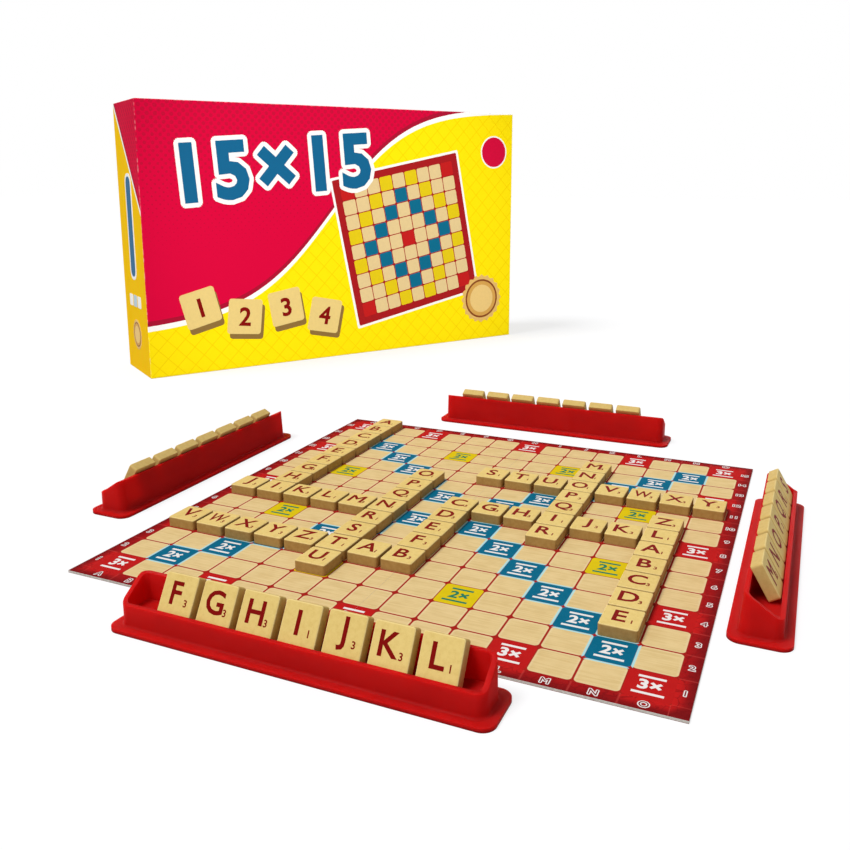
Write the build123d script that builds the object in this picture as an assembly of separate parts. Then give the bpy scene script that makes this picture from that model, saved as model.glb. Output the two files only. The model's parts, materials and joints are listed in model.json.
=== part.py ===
"""A word board game laid out for play: folding board, letter tiles, four tile racks and its box.

Millimetres, +Z up. The near edge of the board runs along X and +Y points away from the player at it.
The origin is on the table, at the middle of the floor area that the whole set covers.
"""

import os
from math import cos, radians, sin, tan

from build123d import *

# Folding board
cell_count = 15
cell_pitch = 18.0
board_border = 7.0
core_thickness = 0.8
paper_thickness = 0.15
fold_slit = 0.3

# Letter tiles, as large as a cell less the gaps between neighbours in a row and in a column
row_tile_gap = 1.6
column_tile_gap = 0.9
tile_thickness = 5.4
tile_corner_chamfer = 0.9
tile_edge_chamfer = 0.5

# Tile racks
flange_rim = 4.0
flange_thickness = 1.8
flange_corner_radius = 5.5
rack_wall = 2.0
rack_floor_height = 6.8
front_wall_height = 11.2
back_wall_height = 19.4
back_wall_draft = 4.0
trough_corner_radius = 2.5
tub_foot_radius = 1.2
rim_bend_radius = 3.0
tile_lean = 30.0
tile_clearance = 0.2
tiles_per_rack = 7
rack_tile_gap = 2.9
rack_end_room = 12.4

# Where the racks stand: gap from the board's edge, slide along that edge, shift of the tile row
rack_places = {
    "near": {"turn": 0, "gap": 8.4, "along": -1.6, "row_shift": 3.4},
    "right": {"turn": 90, "gap": 5.4, "along": 4.0, "row_shift": 8.0},
    "far": {"turn": 180, "gap": 23.8, "along": 0.0, "row_shift": 2.0},
    "left": {"turn": 270, "gap": 21.6, "along": -2.2, "row_shift": 0.0},
}

# Box of lid and tray, stood up on its long side
lid_width = 415.0
lid_height = 250.0
lid_depth = 75.0
card_wall = 2.0
lid_clearance = 0.6
box_corner_radius = 1.2
box_edge_chamfer = 0.6
box_corner_x = -382.0
box_corner_y = 186.0
box_turn = 56.7

# What stays in the box during play
insert_card = 1.2
insert_depth = 40.0
insert_clearance = 0.3
spare_tile_count = 15
spare_tile_gap = 1.2
spare_row_headroom = 2.0
leaflet_width = 200.0
leaflet_height = 142.0
leaflet_paper = 0.5
leaflet_gap = 0.6

# Words on the board, each by its first and last cell
words = {
    "column_b": ("B15", "B7"),
    "row_7": ("A7", "F7"),
    "column_f": ("F10", "F3"),
    "row_4": ("A4", "H4"),
    "column_h": ("H8", "H4"),
    "row_8": ("H8", "N8"),
    "column_k": ("K13", "K7"),
    "row_11": ("H11", "O11"),
    "column_n": ("N9", "N3"),
}

board_side = cell_count * cell_pitch + 2 * board_border
board_top = paper_thickness + core_thickness + paper_thickness
tile_width = cell_pitch - row_tile_gap
tile_height = cell_pitch - column_tile_gap
rack_tile_pitch = tile_width + rack_tile_gap
spare_tile_pitch = tile_width + spare_tile_gap


def slab(x_range, y_range, z_range):
    """A plain block between two corners."""
    low = (x_range[0], y_range[0], z_range[0])
    size = (x_range[1] - low[0], y_range[1] - low[1], z_range[1] - low[2])
    return Pos(*low) * Box(*size, align=(Align.MIN, Align.MIN, Align.MIN))


def board_half(side, bottom, thickness):
    """One leaf of one layer of the board; side is -1 for the left half and 1 for the right half."""
    near_fold = side * fold_slit / 2
    outer = side * board_side / 2
    across = sorted((near_fold, outer))
    return slab(across, (-board_side / 2, board_side / 2), (bottom, bottom + thickness))


def board_pieces():
    """Each half is a grey card core between a backing paper and the printed play sheet."""
    pieces = {}
    for name, side in (("left", -1), ("right", 1)):
        pieces[f"board_back_{name}"] = board_half(side, 0, paper_thickness)
        pieces[f"board_core_{name}"] = board_half(side, paper_thickness, core_thickness)
        pieces[f"play_sheet_{name}"] = board_half(side, paper_thickness + core_thickness, paper_thickness)
    return pieces


def letter_tile():
    """A moulded tile lying face up on z = 0, centred on the Z axis."""
    outline = chamfer(Rectangle(tile_width, tile_height).vertices(), tile_corner_chamfer)
    tile = extrude(outline, tile_thickness)
    face_edges = tile.faces().sort_by(Axis.Z)[-1].edges()
    return chamfer(face_edges, tile_edge_chamfer)


def cell_number(cell):
    """Column and row of a cell such as B15, both counted from 1 at the near left corner of the board."""
    return ord(cell[0]) - ord("A") + 1, int(cell[1:])


def cells_from(first, last):
    """Cells of one word, which runs along a row or down a column."""
    column, row = cell_number(first)
    last_column, last_row = cell_number(last)
    if row == last_row:
        return [(place, row) for place in range(column, last_column + 1)]
    return [(column, place) for place in range(row, last_row - 1, -1)]


def cell_centre(column, row):
    """Middle of a cell, from the board's centre."""
    middle = (cell_count + 1) / 2
    return (column - middle) * cell_pitch, (row - middle) * cell_pitch


def word_pieces():
    """Tiles of each word in turn; a cell that two words share holds one tile, which the first keeps."""
    pieces = {}
    taken = set()
    for name, (first, last) in words.items():
        free = [cell for cell in cells_from(first, last) if cell not in taken]
        taken.update(free)
        tiles = [Pos(*cell_centre(*cell), board_top) * letter_tile() for cell in free]
        pieces[f"tiles_{name}"] = Compound(tiles)
    return pieces


# Section of a rack, in its own frame: X along the rack, Y from its front to its back, table at z = 0.
# The trough is as wide as a leaning tile needs: foot against the front wall, back on the back wall's rim.
lean = radians(tile_lean)
tile_foot_z = rack_floor_height + tile_clearance
tile_foot_depth = tile_thickness * cos(lean)
tile_rise_to_rim = (back_wall_height - tile_foot_z) * tan(lean)
trough_mouth = tile_clearance + tile_foot_depth + tile_rise_to_rim + tile_clearance / cos(lean)
back_slope = tan(radians(back_wall_draft))
tub_depth = rack_wall + trough_mouth + rack_wall + back_wall_height * back_slope
rack_depth = tub_depth + 2 * flange_rim
front_outer = -tub_depth / 2
front_inner = front_outer + rack_wall
back_rim_inner = front_inner + trough_mouth
tile_row_length = tiles_per_rack * rack_tile_pitch - rack_tile_gap
tub_half_length = tile_row_length / 2 + rack_end_room + rack_wall
rack_length = 2 * (tub_half_length + flange_rim)


def tub_block(inset, low, high):
    """Solid between two heights of the tub, drawn in by inset from its outer skin; its back wall leans."""
    front = front_outer + inset
    back_rim = back_rim_inner + rack_wall - inset
    back_low = back_rim + (back_wall_height - low) * back_slope
    back_high = back_rim + (back_wall_height - high) * back_slope
    section = Polyline((front, low), (back_low, low), (back_high, high), (front, high), close=True)
    block = extrude(make_face(Plane.YZ * section), tub_half_length - inset, both=True)
    corners = [e for e in block.edges() if abs(e.tangent_at(0).Z) > sin(radians(45))]
    return fillet(corners, trough_corner_radius + rack_wall - inset)


def rim_cut():
    """What is taken off the top, so that the end walls slope down from the back rim to the front wall."""
    beyond = rack_depth
    top = 2 * back_wall_height
    rim = FilletPolyline(
        (-beyond, front_wall_height),
        (front_inner, front_wall_height),
        (back_rim_inner, back_wall_height),
        (beyond, back_wall_height),
        radius=rim_bend_radius,
    )
    over = Polyline((beyond, back_wall_height), (beyond, top), (-beyond, top), (-beyond, front_wall_height))
    face = make_face(Plane.YZ * (rim + over))
    return extrude(face, rack_length, both=True)


def rack_body():
    """One moulded rack: flange on the table, drafted tub, raised trough floor and hollow underside."""
    flange = extrude(RectangleRounded(rack_length, rack_depth, flange_corner_radius), flange_thickness)
    body = flange + tub_block(0, 0, back_wall_height)
    flange_top = body.faces().sort_by(lambda face: abs(face.center().Z - flange_thickness))[0]
    body = fillet(flange_top.inner_wires()[0].edges(), tub_foot_radius)
    body -= rim_cut()
    body -= tub_block(rack_wall, rack_floor_height, 2 * back_wall_height)
    body -= tub_block(rack_wall, 0, rack_floor_height - rack_wall)
    return body


def racked_tile(place, row_shift):
    """A tile leaning back in the trough; place counts from the left end, as its player sees it."""
    middle = (tiles_per_rack - 1) / 2
    along = (place - middle) * rack_tile_pitch + row_shift
    upright = Pos(0, 0, tile_height / 2) * Rot(90, 0, 0) * letter_tile()
    foot_y = front_inner + tile_clearance + tile_foot_depth
    return Pos(along, foot_y, tile_foot_z) * Rot(-tile_lean, 0, 0) * upright


def rack_location(place):
    """Where a rack stands: its back to the board, turned about the board's centre."""
    outward = board_side / 2 + place["gap"] + rack_depth / 2
    return Rot(0, 0, place["turn"]) * Pos(place["along"], -outward, 0)


def rack_pieces():
    """Four racks, one on each side of the board, and the tiles in them."""
    pieces = {}
    for name, place in rack_places.items():
        stand = rack_location(place)
        pieces[f"{name}_rack"] = stand * rack_body()
        for number in range(tiles_per_rack):
            pieces[f"{name}_tile_{number + 1}"] = stand * racked_tile(number, place["row_shift"])
    return pieces


# Box, in its own frame: X along the width, Y from the lid's face to the back, table at z = 0.
base_margin = card_wall + lid_clearance
tray_margin = base_margin + card_wall
tray_floor_y = lid_depth - card_wall


def upright_block(margin, y_range):
    """Square-cornered block with the box's outline, drawn in by margin, between two depths."""
    across = (margin, lid_width - margin)
    upright = (margin, lid_height - margin)
    return slab(across, y_range, upright)


def box_lid():
    """Lid with a full-depth skirt; its face is the front of the box."""
    lid = upright_block(0, (0, lid_depth))
    lid = fillet(lid.edges().filter_by(Axis.Y), box_corner_radius)
    lid = chamfer(lid.faces().sort_by(Axis.Y)[0].edges(), box_edge_chamfer)
    return lid - upright_block(card_wall, (card_wall, 2 * lid_depth))


def box_base():
    """Tray that the lid slides over, open towards the lid."""
    front = card_wall + lid_clearance
    tray = upright_block(base_margin, (front, lid_depth))
    tray = fillet(tray.edges().filter_by(Axis.Y), box_corner_radius)
    return tray - upright_block(tray_margin, (-lid_depth, tray_floor_y))


tray_bottom = tray_margin
tray_left = tray_margin + insert_clearance
tray_right = lid_width - tray_margin - insert_clearance
insert_front = tray_floor_y - insert_depth
shelf_bottom = tray_bottom + tile_thickness + spare_row_headroom
shelf_top = shelf_bottom + insert_card


def box_insert():
    """Folded card bridge glued in the tray; the spare tiles lie under its shelf."""
    depth = (insert_front, tray_floor_y)
    shelf = slab((tray_left, tray_right), depth, (shelf_bottom, shelf_top))
    left_leg = slab((tray_left, tray_left + insert_card), depth, (tray_bottom, shelf_bottom))
    right_leg = slab((tray_right - insert_card, tray_right), depth, (tray_bottom, shelf_bottom))
    return shelf + left_leg + right_leg


def spare_tiles():
    """Tiles that nobody has drawn yet, in one row on the lower wall of the tray."""
    middle = (spare_tile_count - 1) / 2
    row_y = (insert_front + tray_floor_y) / 2
    tiles = []
    for number in range(spare_tile_count):
        along = lid_width / 2 + (number - middle) * spare_tile_pitch
        tiles.append(Pos(along, row_y, tray_bottom) * letter_tile())
    return Compound(tiles)


def rules_leaflet():
    """Sheet folded once, standing on the shelf against the floor of the tray."""
    left = (lid_width - leaflet_width) / 2
    right = left + leaflet_width
    upright = (shelf_top, shelf_top + leaflet_height)
    back = tray_floor_y - insert_clearance
    middle = back - leaflet_paper - leaflet_gap
    front = middle - leaflet_paper
    back_leaf = slab((left, right), (back - leaflet_paper, back), upright)
    front_leaf = slab((left, right), (front, middle), upright)
    fold = slab((left, left + leaflet_paper), (front, back), upright)
    return back_leaf + front_leaf + fold


box_location = Pos(box_corner_x, box_corner_y, 0) * Rot(0, 0, box_turn)


def box_pieces():
    """The closed box and what lies in it."""
    pieces = {
        "box_lid": box_lid(),
        "box_base": box_base(),
        "box_insert": box_insert(),
        "spare_tiles": spare_tiles(),
        "rules_leaflet": rules_leaflet(),
    }
    return {name: box_location * piece for name, piece in pieces.items()}


def all_pieces():
    """Every piece by name, moved so that the origin is the middle of the floor area it covers."""
    pieces = {**board_pieces(), **word_pieces(), **rack_pieces(), **box_pieces()}
    reach = Compound(list(pieces.values())).bounding_box()
    to_origin = Pos(-(reach.min.X + reach.max.X) / 2, -(reach.min.Y + reach.max.Y) / 2, -reach.min.Z)
    return {name: to_origin * piece for name, piece in pieces.items()}, to_origin


pieces, to_origin = all_pieces()
os.makedirs("parts", exist_ok=True)
for name, piece in pieces.items():
    piece.label = name
    export_step(piece, f"parts/{name}.step")
board_centre = to_origin.position
print(len(pieces), "pieces; board centre at", round(board_centre.X, 3), round(board_centre.Y, 3))
print("rack depth", round(rack_depth, 2), "trough mouth", round(trough_mouth, 2))
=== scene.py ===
import itertools
import json
from math import cos, pi, radians, sin
from string import ascii_uppercase

import bmesh
import bpy
from mathutils import Matrix, Vector

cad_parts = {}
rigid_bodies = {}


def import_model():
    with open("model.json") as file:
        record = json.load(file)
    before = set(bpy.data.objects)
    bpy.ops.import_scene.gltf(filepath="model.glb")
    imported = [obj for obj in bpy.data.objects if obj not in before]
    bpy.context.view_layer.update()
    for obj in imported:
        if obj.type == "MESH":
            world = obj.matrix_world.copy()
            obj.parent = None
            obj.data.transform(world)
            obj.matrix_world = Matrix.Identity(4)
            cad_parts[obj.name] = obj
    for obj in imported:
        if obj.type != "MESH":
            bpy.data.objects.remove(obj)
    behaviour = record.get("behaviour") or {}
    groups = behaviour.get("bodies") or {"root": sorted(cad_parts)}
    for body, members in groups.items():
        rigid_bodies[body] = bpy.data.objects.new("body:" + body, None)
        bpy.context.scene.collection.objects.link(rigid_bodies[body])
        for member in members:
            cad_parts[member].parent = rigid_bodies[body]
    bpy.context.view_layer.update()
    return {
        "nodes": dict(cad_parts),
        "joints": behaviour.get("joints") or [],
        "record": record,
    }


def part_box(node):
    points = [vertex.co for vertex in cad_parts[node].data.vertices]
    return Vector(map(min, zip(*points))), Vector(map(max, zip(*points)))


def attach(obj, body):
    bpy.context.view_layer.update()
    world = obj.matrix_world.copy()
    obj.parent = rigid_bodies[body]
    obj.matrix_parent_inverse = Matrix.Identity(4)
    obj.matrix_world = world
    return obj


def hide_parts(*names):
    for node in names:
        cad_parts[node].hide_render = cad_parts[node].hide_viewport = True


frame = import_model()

# The card leaves: grey pressed board, die-cut to one square and slit along the middle, with plain
# backing paper glued under each leaf. Their pale cut edges show beside the print. Card and paper have
# two tones each, a lighter one and a darker one among the fibres.
card_tones = ("D9D5CC", "BDB8AD")
backing_tones = ("8C1A1E", "741317")


def ink(code):
    """A printed colour, from its six hex digits to the linear values that a shader takes."""
    shares = [int(code[at:at + 2], 16) / 255 for at in (0, 2, 4)]
    linear = [s / 12.92 if s <= 0.04045 else ((s + 0.055) / 1.055) ** 2.4 for s in shares]
    return (*linear, 1.0)


class Value:
    """What a material works out at each point, used with the plain signs of arithmetic."""

    def __init__(self, finish, socket):
        self.finish = finish
        self.socket = socket

    def __add__(self, other):
        return self.finish.math("ADD", self, other)

    def __sub__(self, other):
        return self.finish.math("SUBTRACT", self, other)

    def __rsub__(self, other):
        return self.finish.math("SUBTRACT", other, self)

    def __mul__(self, other):
        return self.finish.math("MULTIPLY", self, other)

    def __truediv__(self, other):
        return self.finish.math("DIVIDE", self, other)

    def __abs__(self):
        return self.finish.math("ABSOLUTE", self)


class Finish:
    """One material: its shader, and short ways to put nodes in front of it."""

    def __init__(self, name, roughness, shine=0.1):
        self.material = bpy.data.materials.new(name)
        self.material.use_nodes = True
        self.tree = self.material.node_tree
        self.shader = self.tree.nodes["Principled BSDF"]
        self.shader.inputs["Roughness"].default_value = roughness
        self.shader.inputs["Specular IOR Level"].default_value = shine

    def node(self, kind, **settings):
        made = self.tree.nodes.new(kind)
        for name, value in settings.items():
            setattr(made, name, value)
        return made

    def source(self, kind, output, **settings):
        """What a node without inputs gives out."""
        return Value(self, self.node(kind, **settings).outputs[output])

    def plug(self, socket, value):
        """Feed a socket from other nodes, from an ink's code or with a plain setting."""
        if isinstance(value, Value):
            self.tree.links.new(value.socket, socket)
        else:
            socket.default_value = ink(value) if isinstance(value, str) else value

    def math(self, operation, *values):
        made = self.node("ShaderNodeMath", operation=operation)
        for socket, value in zip(made.inputs, values):
            self.plug(socket, value)
        return Value(self, made.outputs[0])

    def step(self, value, start, end):
        """0 before start and 1 after end, eased between them; start may be the larger one."""
        made = self.node("ShaderNodeMapRange", interpolation_type="SMOOTHSTEP")
        for socket, entry in zip(made.inputs, (value, start, end)):
            self.plug(socket, entry)
        return Value(self, made.outputs[0])

    def mix(self, share, first, second):
        made = self.node("ShaderNodeMix", data_type="RGBA")
        colours = [socket for socket in made.inputs if socket.type == "RGBA"]
        for socket, value in zip((made.inputs[0], *colours), (share, first, second)):
            self.plug(socket, value)
        return Value(self, [socket for socket in made.outputs if socket.type == "RGBA"][0])

    def noise(self, scale, detail=2.0, stretch=(1, 1, 1)):
        """Cloudy values about one half, in the piece's own metres, squeezed along an axis by stretch."""
        place = self.node("ShaderNodeMapping")
        place.inputs["Scale"].default_value = stretch
        self.plug(place.inputs["Vector"], self.source("ShaderNodeTexCoord", "Object"))
        made = self.node("ShaderNodeTexNoise")
        made.inputs["Scale"].default_value = scale
        made.inputs["Detail"].default_value = detail
        self.tree.links.new(place.outputs["Vector"], made.inputs["Vector"])
        return Value(self, made.outputs[0])

    def colour(self, value):
        self.plug(self.shader.inputs["Base Color"], value)

    def rough(self, value):
        self.plug(self.shader.inputs["Roughness"], value)

    def bump(self, height, depth):
        made = self.node("ShaderNodeBump")
        made.inputs["Distance"].default_value = depth
        self.plug(made.inputs["Height"], height)
        self.tree.links.new(made.outputs["Normal"], self.shader.inputs["Normal"])


def fibre_finish(name, tones, fibre_scale, relief):
    """Paper or card: short fibres along the making direction, soft clouds and a matt, felted surface."""
    finish = Finish(name, roughness=0.86)
    fibres = finish.noise(fibre_scale, detail=4.0, stretch=(1, 0.3, 1))
    clouds = finish.noise(fibre_scale / 14)
    felt = fibres * 0.7 + clouds * 0.3
    finish.colour(finish.mix(finish.step(felt, 0.35, 0.68), *tones))
    finish.bump(fibres, relief)
    return finish.material


def coat(node, material):
    """Give a CAD node a finish of its own."""
    for holder in frame["nodes"][node].material_slots:
        holder.material = material


board_card = fibre_finish("board_card", card_tones, fibre_scale=1100, relief=0.00004)
board_backing = fibre_finish("board_backing", backing_tones, fibre_scale=700, relief=0.00003)
for leaf in ("left", "right"):
    coat(f"board_core_{leaf}", board_card)
    coat(f"board_back_{leaf}", board_backing)

# The play sheet: coated paper printed in four inks and glued to the leaves, slit where the board folds.
# A grid of wood-coloured cells lies in a red border, with bonus cells in red, blue and yellow.
cell_count = 15
print_border = 0.007
fold_gap = 0.00008
line_share = 0.052
corner_share = 0.105
halo_share = 0.064
line_blur = 0.008
halo_blur = 0.01
cell_tan = "E6CB92"
cell_streak = "D8BB80"
cell_rim_highlight = "F0DFB4"
line_red = "A4201A"
bonus_red = "C41D1D"
bonus_blue = "0A6B8B"
bonus_yellow = "E5CA16"
bonus_shade = "000000"
halo_blue = "AEDDE0"
border_red = "A31719"
border_dark = "7A1215"
border_crack = "6A0E12"
border_joint = "D8504A"
crack_scale = 240.0
crack_wander = (0.004, 0.004, 0.0)
sheet_tones = ("F4F2EE", "E2DFD8")

left_low, left_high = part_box("play_sheet_left")
right_low, right_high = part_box("play_sheet_right")
board_centre = Vector(((left_low.x + right_high.x) / 2, (left_low.y + left_high.y) / 2, left_high.z))
cell_pitch = (right_high.x - left_low.x - 2 * print_border) / cell_count
half_count = cell_count / 2
last_step = cell_count // 2


def bonus(column, row):
    """The ink of a cell, by its steps from the middle one."""
    across, along = sorted((abs(column), abs(row)))
    if along == last_step and across in (0, 4, last_step):
        return "red"
    if across == along and 0 < along:
        return "blue"
    if (across, along) == (2, 5):
        return "yellow"
    return "red" if along == 0 else "tan"


def map_place(finish, uv_map):
    """The two coordinates of a piece's own map. On a cell they run across and along it, from 0 to 1."""
    split = finish.node("ShaderNodeSeparateXYZ")
    finish.plug(split.inputs[0], finish.source("ShaderNodeUVMap", "UV", uv_map=uv_map))
    return Value(finish, split.outputs["X"]), Value(finish, split.outputs["Y"])


def side_flags(finish):
    """The flags of a printed face, one for each side of its cell."""
    split = finish.node("ShaderNodeSeparateColor")
    flags = finish.node("ShaderNodeVertexColor", layer_name="beside_blue").outputs
    finish.plug(split.inputs[0], Value(finish, flags["Color"]))
    return [Value(finish, flag) for flag in (*split.outputs, flags["Alpha"])]


def past_corner(finish, across, along, half):
    """Distance past a rounded square with that half side, in shares of a cell."""
    squares = 0.0
    for place in (across, along):
        past = finish.math("MAXIMUM", abs(place - 0.5) - (half - corner_share), 0.0)
        squares = past * past + squares
    return finish.math("SQRT", squares) - corner_share


def paper_gloss(finish):
    """Coated paper: a faint grain under the ink and a slightly uneven gloss."""
    grain = finish.noise(2600)
    finish.bump(grain, 0.000012)
    finish.rough(grain * 0.16 + 0.54)


def tan_cell_finish():
    """Wood-coloured cell: streaks along the rows, a paler rim painted as a highlight, red lines, a halo
    beside blue cells.
    """
    finish = Finish("cell_tan_print", roughness=0.6, shine=0.03)
    across, along = map_place(finish, "cell")
    streaks = finish.noise(1100, detail=5.0, stretch=(0.06, 1, 1))
    clouds = finish.noise(130)
    grain = clouds * 0.35 + streaks * 0.65
    wood = finish.mix(finish.step(grain, 0.36, 0.7), cell_tan, cell_streak)
    to_side = finish.math("MAXIMUM", abs(across - 0.5), abs(along - 0.5))
    # Painted highlight: the wood is paler in a band along the cell's edges.
    wood = finish.mix(finish.step(to_side, 0.4, 0.47) * 0.35, wood, cell_rim_highlight)
    past_line = past_corner(finish, across, along, 0.5 - line_share / 2)
    printed = finish.mix(finish.step(past_line, -line_blur, line_blur), wood, line_red)
    halo = 0.0
    for flag, distance in zip(side_flags(finish), (across, 1.0 - across, along, 1.0 - along)):
        side_halo = flag * finish.step(distance, halo_share, halo_share * 0.7)
        halo = finish.math("MAXIMUM", halo, side_halo)
    corner = finish.step(past_corner(finish, across, along, 0.5), -halo_blur, halo_blur)
    finish.colour(finish.mix(halo * (1.0 - corner), printed, halo_blue))
    paper_gloss(finish)
    return finish.material


def bonus_cell_finish(name, code):
    """Cell printed solid in one ink to its edge, with the red line's dots at its rounded corners."""
    finish = Finish(name, roughness=0.6, shine=0.02)
    across, along = map_place(finish, "cell")
    solid = finish.mix(finish.noise(260, detail=3.0) * 0.16, code, bonus_shade)
    corner = finish.step(past_corner(finish, across, along, 0.5), -line_blur, line_blur)
    finish.colour(finish.mix(corner, solid, line_red))
    paper_gloss(finish)
    return finish.material


def border_finish():
    """Red border: brighter beside red cells, darker at the rim, with a fine crackle printed in it."""
    finish = Finish("border_print", roughness=0.6, shine=0.02)
    along, depth = map_place(finish, "cell")
    beside_red = side_flags(finish)[0]
    clouds = finish.noise(220, detail=4.0)
    red = finish.mix(finish.step(clouds * 0.5 + depth, 0.3, 1.35), border_red, border_dark)
    red = finish.mix(beside_red * finish.step(depth, 0.75, 0.0), red, bonus_red)
    wander = finish.node("ShaderNodeVectorMath", operation="MULTIPLY_ADD")
    finish.plug(wander.inputs[0], finish.noise(420))
    finish.plug(wander.inputs[1], crack_wander)
    finish.plug(wander.inputs[2], finish.source("ShaderNodeTexCoord", "Object"))
    cracks = finish.node("ShaderNodeTexVoronoi", feature="DISTANCE_TO_EDGE")
    finish.plug(cracks.inputs["Vector"], Value(finish, wander.outputs[0]))
    finish.plug(cracks.inputs["Scale"], crack_scale)
    to_crack = Value(finish, cracks.outputs["Distance"])
    red = finish.mix(finish.step(to_crack, 0.07, 0.0) * 0.5, red, border_crack)
    joint = finish.step(abs(along - 0.5), 0.47, 0.49)
    finish.colour(finish.mix(joint * 0.28, red, border_joint))
    paper_gloss(finish)
    return finish.material


sheet_inks = {
    "tan": tan_cell_finish(),
    "red": bonus_cell_finish("cell_red_print", bonus_red),
    "blue": bonus_cell_finish("cell_blue_print", bonus_blue),
    "yellow": bonus_cell_finish("cell_yellow_print", bonus_yellow),
    "border": border_finish(),
    "edge": fibre_finish("sheet_paper", sheet_tones, fibre_scale=1500, relief=0.00001),
}
ink_order = list(sheet_inks)


def grid_lines(first, last, centre):
    """Cell lines between two edges of a leaf, with the edges themselves."""
    lines = [centre + (line - half_count) * cell_pitch for line in range(cell_count + 1)]
    return [first] + [line for line in lines if first < line < last] + [last]


def leaf_slab(low, high):
    """Points and faces of one leaf: its cells and border on top, then its cut edges and underside."""
    columns = grid_lines(low.x, high.x, board_centre.x)
    rows = grid_lines(low.y, high.y, board_centre.y)
    wide, deep = len(columns), len(rows)
    points = [(x, y, high.z) for y in rows for x in columns]
    faces = [(j * wide + i, j * wide + i + 1, (j + 1) * wide + i + 1, (j + 1) * wide + i)
             for j in range(deep - 1) for i in range(wide - 1)]
    printed = len(faces)
    near_edge = list(range(wide - 1))
    right_edge = [j * wide + wide - 1 for j in range(deep - 1)]
    far_edge = [(deep - 1) * wide + i for i in range(wide - 1, 0, -1)]
    left_edge = [j * wide for j in range(deep - 1, 0, -1)]
    rim = near_edge + right_edge + far_edge + left_edge
    under = [len(points) + place for place in range(len(rim))]
    points += [(points[top][0], points[top][1], low.z) for top in rim]
    for here in range(len(rim)):
        after = (here + 1) % len(rim)
        faces.append((under[here], under[after], rim[after], rim[here]))
    faces.append(tuple(reversed(under)))
    return points, faces, printed


def print_leaf(mesh, printed):
    """Ink, place in the cell and flags of each printed face of a leaf."""
    mesh.uv_layers.new(name="cell")
    mesh.color_attributes.new("beside_blue", "FLOAT_COLOR", "CORNER")
    places = mesh.uv_layers["cell"]
    flags = mesh.color_attributes["beside_blue"]
    for face in mesh.polygons:
        face.material_index = ink_order.index("edge")
        if face.index >= printed:
            continue
        offset = (face.center - board_centre) / cell_pitch
        column = max(-last_step, min(last_step, round(offset.x)))
        row = max(-last_step, min(last_step, round(offset.y)))
        in_border = max(abs(offset.x), abs(offset.y)) > half_count
        at_corner = min(abs(offset.x), abs(offset.y)) > half_count
        kind = "border" if in_border else bonus(column, row)
        face.material_index = ink_order.index(kind)
        beside = ((column - 1, row), (column + 1, row), (column, row - 1), (column, row + 1))
        flag = [float(bonus(*cell) == "blue") for cell in beside]
        if in_border:
            flag = [float(bonus(column, row) == "red")] * 4
        for corner in face.loop_indices:
            spot = (mesh.vertices[mesh.loops[corner].vertex_index].co - board_centre) / cell_pitch
            across, along = spot.x - column + 0.5, spot.y - row + 0.5
            if in_border:
                depth = (max(abs(spot.x), abs(spot.y)) - half_count) * cell_pitch / print_border
                run = along if abs(offset.x) > half_count else across
                across, along = (0.5 if at_corner else run), max(0.0, min(1.0, depth))
            places.data[corner].uv = (across, along)
            flags.data[corner].color = flag


def new_object(name, data):
    """A new object in the scene."""
    made = bpy.data.objects.new(name, data)
    bpy.context.scene.collection.objects.link(made)
    return made


def finished_piece(mesh, body, slot, *nodes):
    """A piece with its place in its mesh: it rides on a body and may stand for nodes; slot is not used.
    """
    piece = new_object(mesh.name, mesh)
    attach(piece, body)
    if nodes:
        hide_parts(*nodes)


left_high.x = board_centre.x - fold_gap / 2
right_low.x = board_centre.x + fold_gap / 2
for leaf, low, high in (("left", left_low, left_high), ("right", right_low, right_high)):
    points, faces, printed = leaf_slab(low, high)
    mesh = bpy.data.meshes.new(f"print_{leaf}_leaf")
    mesh.from_pydata(points, [], faces)
    for kind in ink_order:
        mesh.materials.append(sheet_inks[kind])
    print_leaf(mesh, printed)
    finished_piece(mesh, f"board_{leaf}", "board_print", f"play_sheet_{leaf}")

# The marks and labels: numbers on the bonus cells, letters and numbers along the border, screen-printed
# over the sheet in thick ink. They are slit with the sheet at the fold.
ink_film = 0.00003
cap_share = 0.682
hairline = 0.012
curve_steps = 3
label_height = 0.0034
label_stroke = 0.00002
outline_reach = 0.00045
outline_copies = 8
mark_text = {"red": "3×", "blue": "2×", "yellow": "2×"}
mark_height = 0.0058
mark_stroke = 0.00032
mark_rise = 0.0002
mark_bar_height = 0.0014
mark_bars = ((0.0054, 0.0102), (-0.0055, 0.0118))
label_white = "F5F1EE"
label_red = "7C1216"
mark_green = "1E7D5E"
ink_shade = (0.02, 0.01, 0.01, 1.0)
upward = Vector((0, 0, 1))


def solid_ink(name, code):
    """A thick film of one ink, with a little mottle and a satin surface."""
    finish = Finish(name, roughness=0.5, shine=0.04)
    mottle = finish.noise(1700, detail=3.0)
    finish.colour(finish.mix(mottle * 0.12, code, ink_shade))
    finish.bump(mottle, 0.000008)
    return finish.material


class PrintedFilm:
    """Points and faces of shapes that are printed in one ink."""

    def __init__(self):
        self.points = []
        self.faces = []

    def add(self, shape, place):
        points, faces = shape
        start = len(self.points)
        self.points += [place @ point for point in points]
        self.faces += [tuple(start + corner for corner in face) for face in faces]

    def mesh(self, name, material):
        made = bpy.data.meshes.new(name)
        made.from_pydata(self.points, [], self.faces)
        made.materials.append(material)
        return made


def plain_mesh(carrier, name):
    """What an object comes to with its modifiers, as a mesh; the object itself is not kept."""
    finished = carrier.evaluated_get(bpy.context.evaluated_depsgraph_get())
    made = bpy.data.meshes.new_from_object(finished)
    made.name = name
    bpy.data.objects.remove(carrier)
    return made


def letter_outline(words, spacing):
    """Flat lettering of unit size, with its hair-thin edges merged away."""
    text = bpy.data.curves.new("lettering", "FONT")
    text.body = words
    text.space_character = spacing
    text.resolution_u = curve_steps
    flat = plain_mesh(new_object("lettering", text), "lettering")
    form = bmesh.new()
    form.from_mesh(flat)
    bpy.data.meshes.remove(flat)
    bmesh.ops.remove_doubles(form, verts=form.verts, dist=hairline)
    return form


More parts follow.
